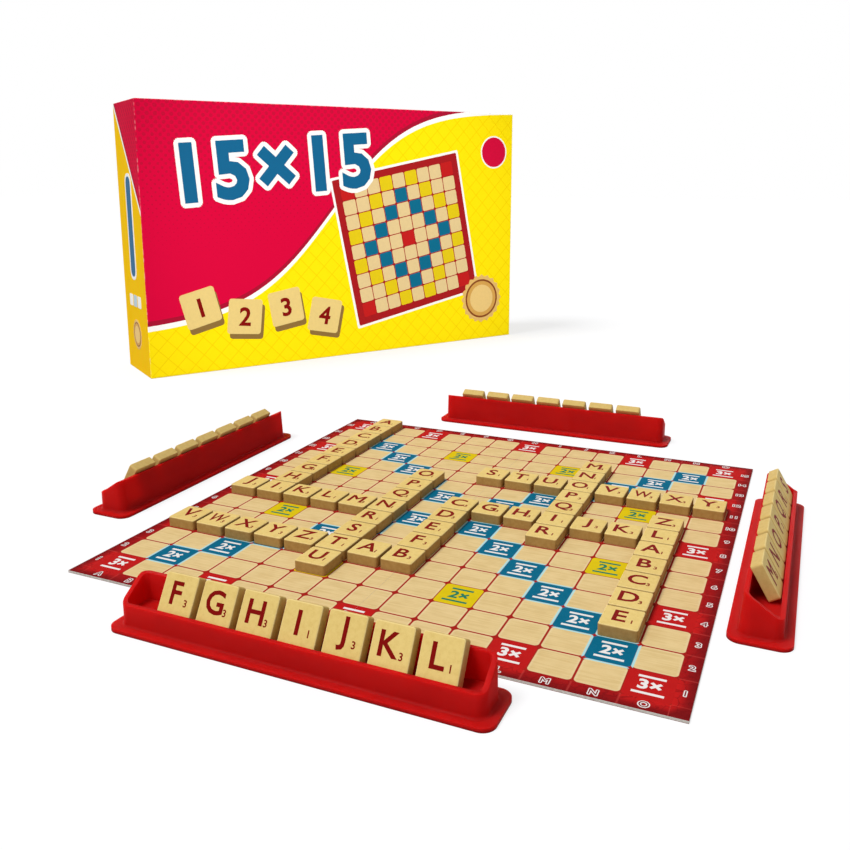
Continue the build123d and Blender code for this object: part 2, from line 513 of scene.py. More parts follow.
def grown_outline(form, amount):
    """The outline of flat lettering moved outwards, as points and as pairs of their numbers.

    A sharp corner moves further than the sides beside it, but at most twice as far.
    """
    outward = {}
    rim = [edge for edge in form.edges if edge.is_boundary]
    for edge in rim:
        loop = edge.link_loops[0]
        along = (loop.link_loop_next.vert.co - loop.vert.co).normalized()
        for vertex in edge.verts:
            outward.setdefault(vertex, []).append(along.cross(upward))
    numbers = {vertex: number for number, vertex in enumerate(outward)}
    points = []
    for vertex, facings in outward.items():
        push = sum(facings, Vector()).normalized()
        corner_push = amount / max(push.dot(facings[0]), 0.5)
        points.append(vertex.co + push * corner_push)
    return points, [[numbers[vertex] for vertex in edge.verts] for edge in rim]


def capital(words, height, stroke, widest=1.0, spacing=1.0, film=ink_film):
    """Lettering as a thin closed shape, centred on the origin, read along +X, narrowed if too wide."""
    scale = height / cap_share
    flat = letter_outline(words, spacing)
    points, pairs = grown_outline(flat, stroke / scale)
    flat.free()
    form = bmesh.new()
    corners = [form.verts.new(point) for point in points]
    edges = [form.edges.new([corners[end] for end in pair]) for pair in pairs]
    bmesh.ops.triangle_fill(form, use_beauty=True, edges=edges)
    raised = bmesh.ops.extrude_face_region(form, geom=form.faces[:], use_keep_orig=True)
    for vertex in [item for item in raised["geom"] if isinstance(item, bmesh.types.BMVert)]:
        vertex.co.z += 1.0
    bmesh.ops.recalc_face_normals(form, faces=form.faces)
    form.verts.index_update()
    lows = [min(v.co[axis] for v in form.verts) for axis in range(3)]
    highs = [max(v.co[axis] for v in form.verts) for axis in range(3)]
    middle = (Vector(lows) + Vector(highs)) / 2
    narrow = min(1.0, widest / scale / (highs[0] - lows[0]))
    sized = Matrix.Diagonal((narrow * scale, scale, 2 * film))
    points = [sized @ (v.co - middle) for v in form.verts]
    faces = [[v.index for v in face.verts] for face in form.faces]
    form.free()
    return points, faces


def outline_places(reach, film, count):
    """Places on a ring, each a little higher than the last: copies of lettering there outline it."""
    places = []
    for number in range(count):
        angle = 2 * pi * (number + 0.5) / count
        places.append(Vector((reach * cos(angle), reach * sin(angle), film * number / count)))
    return places


def slab(outline, top, bottom):
    """A thin closed slab between two heights, with an outline that runs anticlockwise."""
    count = len(outline)
    points = [Vector((x, y, z)) for z in (top, bottom) for x, y in outline]
    faces = [list(range(count)), list(reversed(range(count, 2 * count)))]
    for here in range(count):
        after = (here + 1) % count
        faces.append([here, here + count, after + count, after])
    return points, faces


def bar(length, height):
    """A plain printed bar, centred on the origin."""
    x, y = length / 2, height / 2
    return slab(((-x, -y), (x, -y), (x, y), (-x, y)), ink_film, -ink_film)


marks = {name: PrintedFilm() for name in ("white", "green", "label_back", "label")}
mark_shapes = {kind: capital(text, mark_height, mark_stroke) for kind, text in mark_text.items()}
for column, row in itertools.product(range(-last_step, last_step + 1), repeat=2):
    kind = bonus(column, row)
    if kind == "tan":
        continue
    film = marks["green" if kind == "yellow" else "white"]
    place = Matrix.Translation(board_centre + Vector((column, row, 0)) * cell_pitch)
    film.add(mark_shapes[kind], place @ Matrix.Translation((0, mark_rise, 0)))
    for rise, length in mark_bars:
        film.add(bar(length, mark_bar_height), place @ Matrix.Translation((0, rise, 0)))

label_reach = half_count * cell_pitch + print_border / 2
over_outline = Matrix.Translation((0, 0, 2 * ink_film))
for step in range(cell_count):
    letter = ascii_uppercase[step]
    number = str(step + 1)
    run = (step - last_step) * cell_pitch
    letter_spots = ((letter, run, -label_reach), (letter, run, label_reach))
    number_spots = ((number, -label_reach, run), (number, label_reach, run))
    for text, x, y in letter_spots + number_spots:
        place = Matrix.Translation(board_centre + Vector((x, y, 0)))
        label = capital(text, label_height, label_stroke)
        for offset in outline_places(outline_reach, ink_film, outline_copies):
            marks["label_back"].add(label, place @ Matrix.Translation(offset))
        marks["label"].add(label, place @ over_outline)

film_inks = {
    "white": solid_ink("mark_white_ink", label_white),
    "green": solid_ink("mark_green_ink", mark_green),
    "label_back": solid_ink("label_white_ink", label_white),
    "label": solid_ink("label_red_ink", label_red),
}


def slit_film(mesh, edge, side):
    """Keep the print on one side of the fold and close the cut."""
    form = bmesh.new()
    form.from_mesh(mesh)
    everything = form.verts[:] + form.edges[:] + form.faces[:]
    away = (-side, 0, 0)
    bmesh.ops.bisect_plane(form, geom=everything, plane_co=(edge, 0, 0), plane_no=away, clear_outer=True)
    opened = [e for e in form.edges if e.is_boundary]
    bmesh.ops.holes_fill(form, edges=opened, sides=0)
    form.to_mesh(mesh)
    form.free()


for name, film in marks.items():
    for leaf, edge, side in (("left", left_high.x, -1), ("right", right_low.x, 1)):
        mesh = film.mesh(f"{name}_print_{leaf}", film_inks[name])
        slit_film(mesh, edge, side)
        finished_piece(mesh, f"board_{leaf}", "board_print")

# The letter tiles: cream moulded plastic with softly rounded edges, each with a capital and its points
# pad-printed on the face. The words on the board come first; letters simply run through the alphabet.
tile_corner = 0.0011
tile_edge = 0.00055
tile_foot = 0.0002
same_place = 1e-6
tile_cream = "EBCF82"
tile_shade = "D9B968"
tile_rim_highlight = "F4E0A4"
tile_side_shade = "8A5E34"
tile_ink_red = "850A06"
letter_height = 0.0088
letter_stroke = 0.00026
letter_widest = 0.0094
letter_offset = Vector((-0.0009, 0.0008, 0))
points_height = 0.0027
points_stroke = 0.00008
points_offset = Vector((0.0044, -0.0025, 0))
common_letters = "AEILNORSTU"
shade_spread = 0.5

joint_axis = {joint["child"]: Vector(joint["axis"]) for joint in frame["joints"]}
near_tile_low, near_tile_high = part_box("near_tile_1")
word_low, word_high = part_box("tiles_row_8")
tile_width = near_tile_high.x - near_tile_low.x
tile_thickness = word_high.z - word_low.z


def extent(node, axis):
    """Lowest and highest reach of a CAD node along a direction."""
    reach = [vertex.co.dot(axis) for vertex in frame["nodes"][node].data.vertices]
    return min(reach), max(reach)


tile_low, tile_high = extent("near_tile_1", joint_axis["near_tile_1"])
tile_height = tile_high - tile_low


def tile_finish():
    """Cream plastic: each tile a tone of its own, a paler top rim painted as a highlight, sides painted
    browner as shade, a satin skin.
    """
    finish = Finish("tile_plastic", roughness=0.5, shine=0.04)
    shade = finish.source("ShaderNodeAttribute", "Fac", attribute_name="shade")
    rubbed = finish.source("ShaderNodeAttribute", "Fac", attribute_name="rubbed")
    handled = finish.source("ShaderNodeAttribute", "Fac", attribute_name="handled")
    mottle = finish.noise(520, detail=5.0)
    grain = finish.noise(2400)
    speckle = finish.step(grain * 0.3 + mottle * 0.7, 0.38, 0.72)
    body = finish.mix((shade + speckle) * 0.5, tile_cream, tile_shade)
    # Painted highlight: the top rims are mixed towards a paler cream.
    body = finish.mix(rubbed * 0.5, body, tile_rim_highlight)
    # Painted shade: the sides are mixed towards a darker brown, standing in for the shade on them.
    side_shade_share = handled * (mottle * 0.2 + 0.6)
    finish.colour(finish.mix(side_shade_share, body, tile_side_shade))
    finish.rough(mottle * 0.16 + 0.4)
    finish.bump(grain, 0.00002)
    return finish.material


def blank_tile():
    """One tile, face up on z = 0 and centred on the Z axis, with rounded corners and edges."""
    form = bmesh.new()
    bmesh.ops.create_cube(form, size=1.0)
    size = Vector((tile_width, tile_height, tile_thickness))
    for vertex in form.verts:
        vertex.co = Vector((vertex.co.x * size.x, vertex.co.y * size.y, (vertex.co.z + 0.5) * size.z))
    upright = [e for e in form.edges if abs(e.verts[0].co.z - e.verts[1].co.z) > size.z / 2]
    bmesh.ops.bevel(form, geom=upright, offset=tile_corner, segments=3, profile=0.5, affect="EDGES")
    for level, width, segments in ((size.z, tile_edge, 2), (0.0, tile_foot, 1)):
        ring = [e for e in form.edges if all(abs(v.co.z - level) < same_place for v in e.verts)]
        bmesh.ops.bevel(form, geom=ring, offset=width, segments=segments, profile=0.5, affect="EDGES")
    made = bpy.data.meshes.new("blank_tile")
    form.to_mesh(made)
    form.free()
    # The top rims get a painted highlight and the sides a painted shade, through these point values.
    made.attributes.new("rubbed", "FLOAT", "POINT")
    made.attributes.new("handled", "FLOAT", "POINT")
    for vertex in made.vertices:
        below = size.z - vertex.co.z
        on_side = below > tile_edge - same_place
        on_rim = below > same_place and not on_side
        made.attributes["rubbed"].data[vertex.index].value = float(on_rim)
        made.attributes["handled"].data[vertex.index].value = float(on_side)
    return made


def tile_setter():
    """Node tree that sets a tile on each point of a mesh and gives each one its own shade."""
    tree = bpy.data.node_groups.new("tile_setter", "GeometryNodeTree")
    sockets = {
        "Places": "Geometry",
        "Tile": "Object",
        "Finish": "Material",
        "Shade spread": "Float",
        "Seed": "Int",
    }
    for name, kind in sockets.items():
        tree.interface.new_socket(name, in_out="INPUT", socket_type=f"NodeSocket{kind}")
    tree.interface.new_socket("Tiles", in_out="OUTPUT", socket_type="NodeSocketGeometry")
    given = tree.nodes.new("NodeGroupInput").outputs
    spots = tree.nodes.new("GeometryNodeMeshToPoints")
    tile = tree.nodes.new("GeometryNodeObjectInfo")
    tile.inputs["As Instance"].default_value = True
    setting = tree.nodes.new("GeometryNodeInstanceOnPoints")
    chance = tree.nodes.new("FunctionNodeRandomValue")
    chance.data_type = "FLOAT"
    keep = tree.nodes.new("GeometryNodeStoreNamedAttribute")
    keep.domain = "INSTANCE"
    keep.inputs["Name"].default_value = "shade"
    real = tree.nodes.new("GeometryNodeRealizeInstances")
    paint = tree.nodes.new("GeometryNodeSetMaterial")
    out = tree.nodes.new("NodeGroupOutput")
    numbers = [socket for socket in chance.inputs if socket.type == "VALUE"]
    values = [socket for socket in keep.inputs if socket.type == "VALUE"]
    for start, end in (
        (given["Places"], spots.inputs["Mesh"]),
        (given["Tile"], tile.inputs["Object"]),
        (spots.outputs["Points"], setting.inputs["Points"]),
        (tile.outputs["Geometry"], setting.inputs["Instance"]),
        (given["Shade spread"], numbers[1]),
        (given["Seed"], chance.inputs["Seed"]),
        (setting.outputs["Instances"], keep.inputs["Geometry"]),
        ([socket for socket in chance.outputs if socket.type == "VALUE"][0], values[0]),
        (keep.outputs["Geometry"], real.inputs["Geometry"]),
        (real.outputs["Geometry"], paint.inputs["Geometry"]),
        (given["Finish"], paint.inputs["Material"]),
        (paint.outputs["Geometry"], out.inputs["Tiles"]),
    ):
        tree.links.new(start, end)
    return tree


tile_plastic = tile_finish()
tile_ink = solid_ink("tile_ink", tile_ink_red)
tile_tree = tile_setter()
tile_sockets = [item for item in tile_tree.interface.items_tree if item.in_out == "INPUT"]
tile_inputs = {item.name: item.identifier for item in tile_sockets}
tile_pattern = new_object("tile_pattern", blank_tile())
tile_seeds = itertools.count(1)


def set_tiles(name, places):
    """Tiles on those points, as one plain mesh."""
    points = bpy.data.meshes.new(f"{name}_places")
    points.from_pydata(places, [], [])
    carrier = new_object(f"{name}_places", points)
    setter = carrier.modifiers.new("tiles", "NODES")
    setter.node_group = tile_tree
    setter[tile_inputs["Tile"]] = tile_pattern
    setter[tile_inputs["Finish"]] = tile_plastic
    setter[tile_inputs["Shade spread"]] = shade_spread
    setter[tile_inputs["Seed"]] = next(tile_seeds)
    return plain_mesh(carrier, name)


letter_shapes = {}
for letter in ascii_uppercase:
    letter_shapes[letter] = capital(letter, letter_height, letter_stroke, letter_widest)
points_shapes = {value: capital(value, points_height, points_stroke) for value in ("1", "3")}
letters_in_turn = itertools.cycle(ascii_uppercase)


def print_tiles(name, body, tile_faces):
    """The ink on a row of tiles; each face is given by the frame of its middle."""
    film = PrintedFilm()
    for face in tile_faces:
        letter = next(letters_in_turn)
        value = "1" if letter in common_letters else "3"
        film.add(letter_shapes[letter], face @ Matrix.Translation(letter_offset))
        film.add(points_shapes[value], face @ Matrix.Translation(points_offset))
    finished_piece(film.mesh(f"{name}_letters", tile_ink), body, "tile_plastic")


def word_cells(node):
    """Cells that a word's tiles lie on, in reading order."""
    steps = [(vertex.co - board_centre) / cell_pitch for vertex in frame["nodes"][node].data.vertices]
    cells = {(round(step.x), round(step.y)) for step in steps}
    return sorted(cells, key=lambda cell: (cell[0], -cell[1]))


face_lift = Vector((0, 0, tile_thickness))
for node in frame["record"]["behaviour"]["bodies"]["tiles_in_play"]:
    spots = [board_centre + Vector((column, row, 0)) * cell_pitch for column, row in word_cells(node)]
    mesh = set_tiles(f"{node}_moulded", spots)
    finished_piece(mesh, "tiles_in_play", "tile_plastic", node)
    print_tiles(node, "tiles_in_play", [Matrix.Translation(spot + face_lift) for spot in spots])

# The racks: one red polystyrene moulding each, a trough on a flange, with every rim rounded by the
# mould. They stand loose on the table, and seven tiles lean back in each.
rack_sides = ("near", "right", "far", "left")
rack_rim_radius = 0.0007
rack_sharp_angle = 40.0
rack_flat_angle = 0.5
rack_red = "C41615"
rack_deep_red = "BC1414"
rack_rubbed = "D6322C"


def rack_finish():
    """Red plastic: even colour with slow flow marks, a little light in its depth, a satin skin."""
    finish = Finish("rack_plastic", roughness=0.5, shine=0.035)
    finish.shader.inputs["Subsurface Weight"].default_value = 0.85
    finish.shader.inputs["Subsurface Radius"].default_value = (1.0, 0.12, 0.08)
    finish.shader.inputs["Subsurface Scale"].default_value = 0.01
    flow = finish.noise(38, detail=3.0, stretch=(1, 1, 2.5))
    scuffs = finish.step(finish.noise(700, detail=6.0, stretch=(1, 1, 0.25)), 0.66, 0.8)
    red = finish.mix(finish.step(flow, 0.35, 0.7), rack_red, rack_deep_red)
    finish.colour(finish.mix(scuffs * 0.25, red, rack_rubbed))
    finish.rough(flow * 0.14 + 0.42)
    finish.bump(finish.noise(3200), 0.000012)
    return finish.material


def softened(name, mesh, radius, sharp_angle):
    """The same form with its sharp edges rounded and its flat faces kept flat."""
    carrier = new_object(name, mesh)
    rounding = carrier.modifiers.new("rounding", "BEVEL")
    rounding.width = radius
    rounding.segments = 3
    rounding.limit_method = "ANGLE"
    rounding.angle_limit = radians(sharp_angle)
    rounding.harden_normals = True
    return plain_mesh(carrier, name)


rack_plastic = rack_finish()
for side in rack_sides:
    form = bmesh.new()
    form.from_mesh(frame["nodes"][f"{side}_rack"].data)
    bmesh.ops.remove_doubles(form, verts=form.verts, dist=same_place)
    flat_angle = radians(rack_flat_angle)
    bmesh.ops.dissolve_limit(form, angle_limit=flat_angle, verts=form.verts, edges=form.edges)
    for face in form.faces:
        face.smooth = True
    plain = bpy.data.meshes.new(f"{side}_rack_plain")
    form.to_mesh(plain)
    form.free()
    mesh = softened(f"{side}_rack_moulded", plain, rack_rim_radius, rack_sharp_angle)
    mesh.materials.clear()
    mesh.materials.append(rack_plastic)
    finished_piece(mesh, f"{side}_rack", "rack_plastic", f"{side}_rack")

# The tiles in the racks: the same mouldings, each one loose, so that it lifts out along its lean.
# A tile's frame comes from that direction, and its middle from its own CAD node. The sides of these
# tiles carry less painted shade than those of the tiles on the board.
tiles_per_rack = 7
drawn_tile_side_shade = 0.3
for side, number in itertools.product(rack_sides, range(1, tiles_per_rack + 1)):
    name = f"{side}_tile_{number}"
    up = joint_axis[name].normalized()
    right = Vector((up.y, -up.x, 0)).normalized()
    facing = right.cross(up)
    middle = sum((axis * sum(extent(name, axis)) / 2 for axis in (right, up, facing)), Vector())
    turned = Matrix((right, up, facing)).transposed().to_4x4()
    back = Matrix.Translation(middle - facing * tile_thickness / 2) @ turned
    mesh = set_tiles(f"{name}_moulded", [(0, 0, 0)])
    # Painted shade: only part of the side shade is kept on these tiles.
    for side_shading in mesh.attributes["handled"].data:
        side_shading.value *= drawn_tile_side_shade
    mesh.transform(back)
    finished_piece(mesh, name, "tile_plastic", name)
    print_tiles(name, name, [back @ Matrix.Translation(face_lift)])

# The box tray and what stays in it: a tray of grey board wrapped in yellow paper and lined with pale
# paper, a folded card bridge glued in it, the tiles that nobody has drawn under the bridge, and a
# leaflet folded once.
tray_paper = 0.0004
tray_tones = ("F1C21A", "E3AE12")
lining_tones = ("D9D5CC", "C6C1B6")
insert_tones = ("E6E2D9", "D0CBC0")
leaflet_tones = ("EDEAE2", "DFDBD1")
spare_gap = 0.0012

lid_out = joint_axis["box_lid"].normalized()
box_across = Vector((-lid_out.y, lid_out.x, 0))
box_inward = -lid_out
box_axes = (box_across, box_inward, upward)
lid_reach = [extent("box_lid", axis) for axis in box_axes]
lid_width, lid_depth, lid_height = [last - first for first, last in lid_reach]
box_corner = box_across * lid_reach[0][0] + box_inward * lid_reach[1][0]
box_turned = Matrix(box_axes).transposed().to_4x4()
box_place = Matrix.Translation(box_corner) @ box_turned

coat("box_base", fibre_finish("tray_wrap", tray_tones, fibre_scale=600, relief=0.00003))
tray_mesh = frame["nodes"]["box_base"].data
tray_mesh.materials.append(fibre_finish("tray_lining", lining_tones, fibre_scale=900, relief=0.00003))
tray_reach = [(axis, *extent("box_base", axis)) for axis in box_axes]
for face in tray_mesh.polygons:
    depths = []
    for axis, first, last in tray_reach:
        place = face.center.dot(axis)
        depths += [place - first, last - place]
    face.material_index = int(min(depths) > tray_paper)
coat("box_insert", fibre_finish("insert_card", insert_tones, fibre_scale=800, relief=0.00004))
coat("rules_leaflet", fibre_finish("leaflet_paper", leaflet_tones, fibre_scale=1400, relief=0.00002))

spare_first, spare_last = extent("spare_tiles", box_across)
spare_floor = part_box("spare_tiles")[0].z
spare_row = sum(extent("spare_tiles", box_inward)) / 2
spare_count = round((spare_last - spare_first + spare_gap) / (tile_width + spare_gap))
spare_pitch = (spare_last - spare_first - tile_width) / (spare_count - 1)
first_middle = spare_first + tile_width / 2
spare_middles = [Vector((first_middle + place * spare_pitch, 0, 0)) for place in range(spare_count)]
row_place = Matrix.Translation(box_inward * spare_row + upward * spare_floor) @ box_turned
mesh = set_tiles("spare_tiles_moulded", spare_middles)
mesh.transform(row_place)
finished_piece(mesh, "spare_tiles", "tile_plastic", "spare_tiles")
spare_faces = [row_place @ Matrix.Translation(middle + face_lift) for middle in spare_middles]
print_tiles("spare_tiles", "spare_tiles", spare_faces)
bpy.data.objects.remove(tile_pattern)

# The box lid: grey board folded into a full-depth lid and wrapped in glossy printed paper, turned in at
# the rims. Crimson sweeps over yellow across the face and round the left side.
card_wall = 0.002
wrap_radius = 0.0009
wrap_sharp_angle = 60.0
lid_crimson = "D6083B"
lid_dark_crimson = "A81532"
lid_yellow = "FFE40C"
lid_side_shaded_yellow = "F8C404"
lid_lattice = "F3CE00"
lid_white = "FBFAF6"
lid_card_tones = ("D8D4CB", "BDB8AD")
sweep_foot = 0.043
sweep_rise = 0.105
sweep_middle = 0.19
sweep_reach = 0.09
sweep_blur = 0.0002
side_foot = 0.15
side_climb = 1.35
band_half = 0.0026
shade_band = 0.0075
dot_pitch = 0.0072
dots_start = 0.06
lattice_pitch = 0.017
rubbed_reach = (0.0009, 0.0002)


def lid_shell():
    """The lid in the box's own frame, open at the back: eight outer points, then eight inner ones."""
    points = []
    for inset in (0.0, card_wall):
        right, top = lid_width - inset, lid_height - inset
        corners = ((inset, inset), (right, inset), (right, top), (inset, top))
        for y in (inset, lid_depth):
            points += [(x, y, z) for x, z in corners]
    faces = [(0, 1, 2, 3), (11, 10, 9, 8)]
    for here in range(4):
        after = (here + 1) % 4
        faces.append((here, here + 4, after + 4, after))
        faces.append((after + 8, after + 12, here + 12, here + 8))
        faces.append((here + 4, here + 12, after + 12, after + 4))
    made = bpy.data.meshes.new("lid_shell")
    made.from_pydata(points, [], faces)
    return made


def wrap_finish():
    """The printed wrap: crimson over a white-edged sweep, halftone dots, a lattice, rubbed edges, and
    the yellow of the left side painted darker as shade.
    """
    finish = Finish("lid_print", roughness=0.6, shine=0.015)
    run, rise = map_place(finish, "wrap")
    swing = finish.math("TANH", (run - sweep_middle) / sweep_reach)
    sweep = swing * sweep_rise + (sweep_foot + sweep_rise)
    on_side = finish.math("LESS_THAN", run, 0.0)
    climb = run * -side_climb + side_foot
    above = rise - (on_side * (climb - sweep) + sweep)
    lattice = 0.0
    squares = 0.0
    for slant in (run + rise, run - rise):
        in_diamond = abs(finish.math("FRACT", slant / lattice_pitch) - 0.5)
        lattice = finish.math("MAXIMUM", lattice, finish.step(in_diamond, 0.465, 0.485))
        in_dot = abs(finish.math("FRACT", slant / dot_pitch) - 0.5)
        squares = in_dot * in_dot + squares
    # Painted shade: the yellow on the left side is darker than on the face.
    field = finish.mix(on_side, lid_yellow, lid_side_shaded_yellow)
    field = finish.mix(lattice, field, lid_lattice)
    dot_size = finish.step(rise, dots_start, lid_height * 1.2) * 0.42
    dots = finish.step(dot_size - finish.math("SQRT", squares), -0.02, 0.02)
    crimson = finish.mix(dots * 0.5, lid_crimson, lid_dark_crimson)
    shaded = finish.step(above, shade_band, shade_band * 0.9)
    crimson = finish.mix(shaded, crimson, lid_dark_crimson)
    field = finish.mix(finish.step(above, -sweep_blur, sweep_blur), field, crimson)
    band = finish.step(abs(above), band_half, band_half * 0.9)
    field = finish.mix(band, field, lid_white)
    to_fold = 1.0
    for place, fold in ((run, 0.0), (run, lid_width), (rise, 0.0), (rise, lid_height)):
        to_fold = finish.math("MINIMUM", to_fold, abs(place - fold))
    at_fold = finish.step(to_fold, *rubbed_reach)
    rubbing = at_fold * finish.step(finish.noise(260, detail=6.0), 0.42, 0.8)
    finish.colour(finish.mix(rubbing * 0.4, field, lid_white))
    finish.rough(finish.noise(24, detail=3.0) * 0.16 + 0.52)
    finish.bump(finish.noise(900), 0.00001)
    return finish.material


lid_mesh = softened("lid_wrap", lid_shell(), wrap_radius, wrap_sharp_angle)
lid_mesh.materials.append(wrap_finish())
lid_mesh.materials.append(fibre_finish("lid_card", lid_card_tones, fibre_scale=900, relief=0.00004))
wrap = lid_mesh.uv_layers.new(name="wrap")
for face in lid_mesh.polygons:
    from_sides = min(face.center.x, lid_width - face.center.x)
    from_ends = min(face.center.z, lid_height - face.center.z)
    face.material_index = int(min(from_sides, from_ends, face.center.y) > card_wall / 2)
    sideways = abs(face.normal.x) > max(abs(face.normal.y), abs(face.normal.z))
    upwards = abs(face.normal.z) > max(abs(face.normal.x), abs(face.normal.y))
    for corner in face.loop_indices:
        spot = lid_mesh.vertices[lid_mesh.loops[corner].vertex_index].co
        run = spot.x + (spot.y if face.normal.x > 0 else -spot.y) if sideways else spot.x
        rise = spot.z + (spot.y if face.normal.z > 0 else -spot.y) if upwards else spot.z
        wrap.data[corner].uv = (run, rise)
lid_mesh.transform(box_place)
finished_piece(lid_mesh, "box_lid", "box_print", "box_lid")

# The picture on the lid: flat shapes printed on the wrap and spot-varnished, so each stands up by a
# film. Large numbers, a tilted grid of coloured cells, four tiles, a gold roundel and a plain disc lie
# on the face, and a bar, squares and a small roundel on the left side.
varnish_film = 0.00004
picture_depth = 12 * varnish_film
number_text = "15×15"
number_blue = "13648F"
number_height = 0.049
number_stroke = 0.0026
number_spacing = 1.16
number_outline = 0.0042
number_copies = 16
number_middle = (0.136, 0.192)
number_tilt = 4.0
panel_red = "A81A1E"
panel_middle = (0.278, 0.118)
panel_span = 0.152
panel_tilt = 11.0
panel_cells = 9
panel_border = 0.007
panel_corner = 0.0015
panel_edge = 0.0025
panel_edge_corner = 0.002
cell_fill = 0.94
cell_corner = 0.1
fan_tile = 0.034
fan_corner = 0.003
fan_places = ((0.05, 0.062, 14.0), (0.093, 0.05, -6.0), (0.136, 0.056, 9.0), (0.178, 0.044, -12.0))
fan_shade = "8E6F3A"
fan_shade_offset = Vector((0.07, -0.15)) * fan_tile
digit_height = 0.5 * fan_tile
digit_stroke = 0.0006
roundel_rings = ((1.0, "E7BC6C"), (0.84, "8A4A22"), (0.76, "D9A552"), (0.6, "EFCB80"))
roundel_scallop = 0.05
roundel_lobes = 20
roundel_middle = (0.374, 0.046)
roundel_radius = 0.026
badge_middle = (0.389, 0.208)
badge_radius = 0.016
badge_edge = 0.0015
side_run = -lid_depth / 2
side_bar_middle = (side_run, 0.137)
side_bar = (0.015, 0.092, 0.0065)
side_bar_edge = (0.021, 0.098, 0.009)
side_roundel_middle = (side_run, 0.036)
side_roundel_radius = 0.014
side_squares = (lid_white, "BFD6E4", lid_white)
side_squares_rise = 0.068
side_square = 0.011
side_square_corner = 0.001
side_square_pitch = 0.014
varnish_shade = (0.02, 0.02, 0.02, 1.0)
lid_front = Matrix(((1, 0, 0, 0), (0, 0, -1, 0), (0, 1, 0, 0), (0, 0, 0, 1)))
lid_left = Matrix(((0, 0, -1, 0), (-1, 0, 0, 0), (0, 1, 0, 0), (0, 0, 0, 1)))


class BoxPicture(PrintedFilm):
    """Shapes printed on the box, each with an ink of its own; higher layers lie over lower ones."""

    def __init__(self):
        super().__init__()
        self.inks = []

    def paint(self, shape, code, layer, middle, tilt=0.0, side=lid_front):
        place = Matrix.Translation((middle[0], middle[1], layer * varnish_film))
        self.add(shape, side @ place @ Matrix.Rotation(radians(tilt), 4, "Z"))
        self.inks += [ink(code)] * len(shape[1])


def soft_rectangle(width, height, radius, steps=6):
    """A slab with rounded corners, which reaches down into the wrap."""
    outline = []
    for quarter, (x, y) in enumerate(((1, 1), (-1, 1), (-1, -1), (1, -1))):
        for step in range(steps + 1):
            angle = (quarter + step / steps) * pi / 2
            centre = (x * (width / 2 - radius), y * (height / 2 - radius))
            outline.append((centre[0] + radius * cos(angle), centre[1] + radius * sin(angle)))
    return slab(outline, 0.0, -picture_depth)


def disc(radius, scallop=0.0, steps=80):
    """A round slab, with a scalloped edge where a depth is given."""
    outline = []
    for step in range(steps):
        angle = 2 * pi * step / steps
        reach = radius + scallop * cos(roundel_lobes * angle)
        outline.append((reach * cos(angle), reach * sin(angle)))
    return slab(outline, 0.0, -picture_depth)


def gold_roundel(picture, middle, radius, side):
    """A round gold print in four rings, scalloped at its edge."""
    for ring, (share, code) in enumerate(roundel_rings):
        scallop = radius * roundel_scallop if ring == 0 else 0.0
        picture.paint(disc(radius * share, scallop), code, ring + 5, middle, side=side)


def paint_grid(picture, middle, span, tilt, side):
    """A top-down grid of coloured cells in a red border with a white edge."""
    edge_span = span + 2 * panel_edge
    edge = soft_rectangle(edge_span, edge_span, panel_edge_corner)
    picture.paint(edge, lid_white, 1, middle, tilt, side)
    picture.paint(soft_rectangle(span, span, panel_corner), panel_red, 2, middle, tilt, side)
    pitch = (span - 2 * panel_border) / panel_cells
    last = panel_cells // 2
    cell = soft_rectangle(pitch * cell_fill, pitch * cell_fill, pitch * cell_corner, steps=2)
    turn = Matrix.Rotation(radians(tilt), 2)
    inks = {0: bonus_red, 3: bonus_blue, 5: bonus_yellow, 2 * last: bonus_red}
    for column, row in itertools.product(range(-last, last + 1), repeat=2):
        spot = Vector(middle) + turn @ Vector((column, row)) * pitch
        picture.paint(cell, inks.get(abs(column) + abs(row), cell_tan), 3, spot, tilt, side)


picture = BoxPicture()
paint_grid(picture, panel_middle, panel_span, panel_tilt, lid_front)
big_number = capital(
    number_text, number_height, number_stroke, spacing=number_spacing, film=varnish_film
)
for offset in outline_places(number_outline, 1.0, number_copies):
    picture.paint(big_number, lid_white, 4 + offset.z, Vector(number_middle) + offset.xy, number_tilt)
picture.paint(big_number, number_blue, 6, number_middle, number_tilt)

fan_square = soft_rectangle(fan_tile, fan_tile, fan_corner)
for number, (x, y, tilt) in enumerate(fan_places, start=1):
    picture.paint(fan_square, fan_shade, 5, Vector((x, y)) + fan_shade_offset, tilt)
    picture.paint(fan_square, tile_cream, 6, (x, y), tilt)
    digit = capital(str(number), digit_height, digit_stroke, film=varnish_film)
    picture.paint(digit, tile_ink_red, 7, (x, y), tilt)

gold_roundel(picture, roundel_middle, roundel_radius, lid_front)
picture.paint(disc(badge_radius + badge_edge), lid_white, 5, badge_middle)
picture.paint(disc(badge_radius), lid_crimson, 6, badge_middle)

picture.paint(soft_rectangle(*side_bar_edge), lid_white, 5, side_bar_middle, side=lid_left)
picture.paint(soft_rectangle(*side_bar), number_blue, 6, side_bar_middle, side=lid_left)
gold_roundel(picture, side_roundel_middle, side_roundel_radius, lid_left)
square = soft_rectangle(side_square, side_square, side_square_corner, steps=2)
for place, code in enumerate(side_squares, start=-1):
    middle = (side_run + place * side_square_pitch, side_squares_rise)
    picture.paint(square, code, 5, middle, side=lid_left)


def picture_finish():
    """Spot-varnished print: the ink of each shape, mottled a little, under a smooth gloss."""
    finish = Finish("lid_picture", roughness=0.45, shine=0.04)
    printed = finish.source("ShaderNodeVertexColor", "Color", layer_name="ink")
    mottle = finish.noise(420, detail=4.0)
    finish.colour(finish.mix(mottle * 0.12, printed, varnish_shade))
    finish.rough(mottle * 0.14 + 0.38)
    return finish.material


varnished_print = picture_finish()


